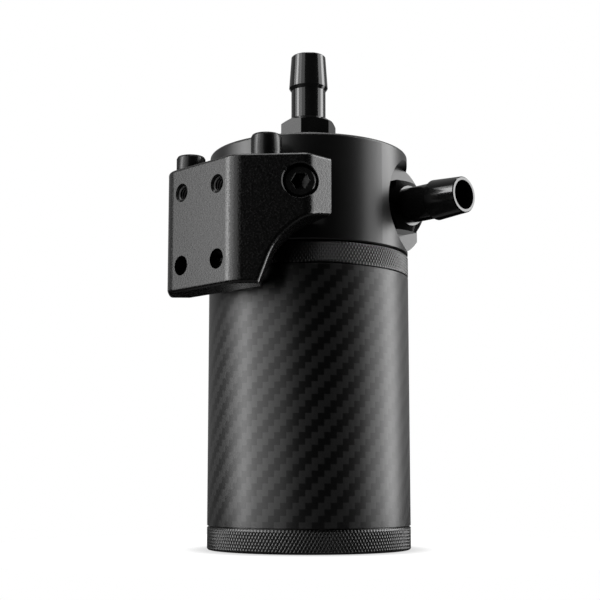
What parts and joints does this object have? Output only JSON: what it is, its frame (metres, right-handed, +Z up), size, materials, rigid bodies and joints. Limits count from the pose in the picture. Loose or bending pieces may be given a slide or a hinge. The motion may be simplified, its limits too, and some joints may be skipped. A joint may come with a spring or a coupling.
{
  "type": "oil catch can",
  "caption": "Round oil catch can: a woven carbon-fibre tube between knurled rings, a screw-on lid with hose fittings on its top and side, and a wing bracket with bolt holes.",
  "frame": {"origin": "on the can's axis at the underside of its base", "axes": "+Z up along the can's axis, -Y out of the bracket's bolting face, +X out along the side hose fitting"},
  "size_m": [0.0894, 0.0855, 0.175],
  "materials": {
    "carbon_tube": "woven carbon fibre under a satin clear coat",
    "ring_black": "diamond knurl, black anodised",
    "lid_black": "machined, satin black anodised",
    "bracket_coat": "cast, fine-textured black powder coat",
    "fitting_black": "turned, gloss black anodised",
    "screw_black": "black oxide",
    "seal_rubber": "moulded nitrile",
    "filter_bronze": "sintered, porous",
    "baffle_steel": "stamped stainless sheet and turned spacers"
  },
  "bodies": {
    "canister": {"base": "ring_black", "tube": "carbon_tube", "collar": "ring_black", "drain_plug": "fitting_black", "drain_seal": "seal_rubber", "base_tube_seal": "seal_rubber", "collar_tube_seal": "seal_rubber"},
    "seal": {"lid_seal": "seal_rubber"},
    "head": {"lid": "lid_black", "top_fitting": "fitting_black", "side_fitting": "fitting_black", "filter_element": "filter_bronze", "filter_gaskets": "seal_rubber", "baffle_plate": "baffle_steel", "baffle_spacers": "baffle_steel", "baffle_screws": "baffle_steel", "bracket": "bracket_coat", "bracket_wing_screws": "screw_black", "bracket_top_screws": "screw_black", "bracket_washers": "screw_black"}
  },
  "joints": [
    {"name": "lid_lift", "type": "slide", "parent": "canister", "child": "seal", "axis": [0, 0, 1], "range_m": [0, 0.00651]},
    {"name": "lid_unscrew", "type": "hinge", "parent": "seal", "child": "head", "pos_m": [0, 0, 0.098], "axis": [0, 0, 1], "range_deg": [0, 1170]}
  ],
  "couplings": [
    {"joint": "lid_lift", "follows": "lid_unscrew", "m_per_rad": 0.00031831}
  ]
}
